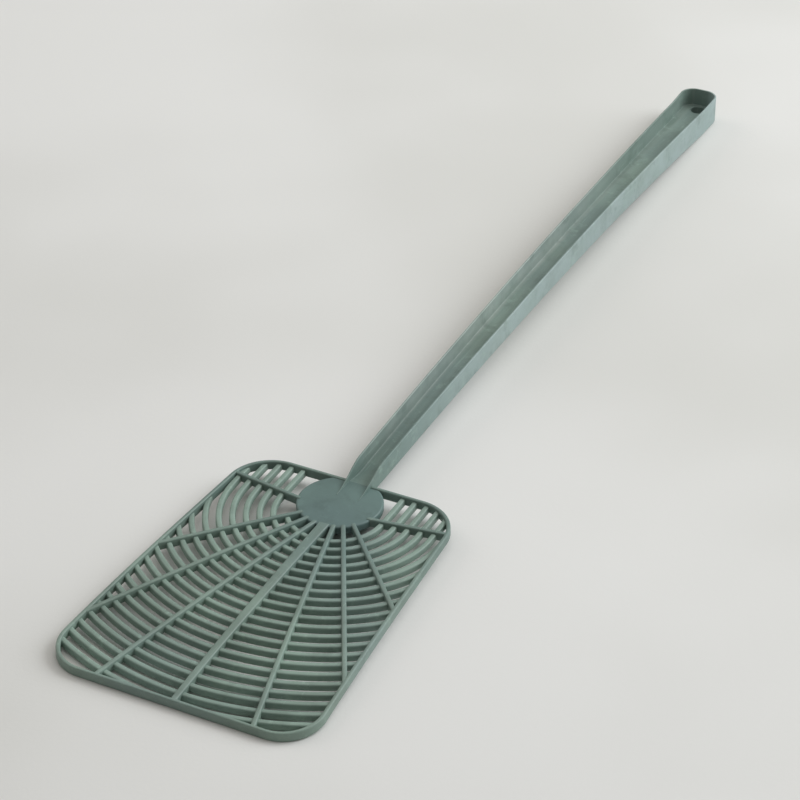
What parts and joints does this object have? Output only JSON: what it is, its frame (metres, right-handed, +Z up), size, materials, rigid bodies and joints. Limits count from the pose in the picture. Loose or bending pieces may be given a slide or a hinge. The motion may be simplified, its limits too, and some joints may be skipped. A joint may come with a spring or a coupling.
{
  "type": "fly swatter",
  "caption": "Moulded plastic fly swatter: rounded slatted blade with fanned ribs and a smooth hub, on a long channel handle with a hanging hole and a flexing neck.",
  "frame": {"origin": "on the table, under the middle of the overall length and width, with the swatter lying on its back", "axes": "+Z up out of the open channel, +Y from the blade's tip to the handle's hanging end, +X to the right seen from above with the handle pointing away"},
  "size_m": [0.098, 0.459, 0.0153],
  "materials": {
    "blade_plastic": "satin moulded polypropylene, grey-green",
    "hub_plastic": "smooth satin moulded polypropylene, slightly bluish grey-green",
    "handle_plastic": "satin moulded polypropylene, grey-green, worn along the channel"
  },
  "bodies": {
    "handle": {"handle_floor": "handle_plastic", "handle_wall_left": "handle_plastic", "handle_wall_right": "handle_plastic", "grip_end_wall": "handle_plastic", "hang_land": "handle_plastic"},
    "blade": {"rim_frame": "blade_plastic", "hub_plate": "hub_plastic", "neck_gusset_left": "hub_plastic", "neck_gusset_right": "hub_plastic", "spine": "blade_plastic", "inner_rib_left": "blade_plastic", "middle_rib_left": "blade_plastic", "outer_rib_left": "blade_plastic", "cross_rib_left": "blade_plastic", "inner_rib_right": "blade_plastic", "middle_rib_right": "blade_plastic", "outer_rib_right": "blade_plastic", "cross_rib_right": "blade_plastic", "slat_01": "blade_plastic", "slat_02": "blade_plastic", "slat_03": "blade_plastic", "slat_04": "blade_plastic", "slat_05": "blade_plastic", "slat_06": "blade_plastic", "slat_07": "blade_plastic", "slat_08": "blade_plastic", "slat_09": "blade_plastic", "slat_10": "blade_plastic", "slat_11": "blade_plastic", "slat_12": "blade_plastic", "slat_13": "blade_plastic", "slat_14": "blade_plastic", "slat_15": "blade_plastic", "slat_16": "blade_plastic", "slat_17": "blade_plastic", "slat_18": "blade_plastic", "slat_19": "blade_plastic", "slat_20": "blade_plastic", "corner_slat_left": "blade_plastic", "corner_slat_right": "blade_plastic"}
  },
  "joints": [
    {"name": "neck_flex", "type": "hinge", "parent": "handle", "child": "blade", "pos_m": [0.0012, -0.0955, 0.0066], "axis": [1, 0, 0], "range_deg": [-12, 12], "stiffness_Nm_per_rad": 2}
  ]
}
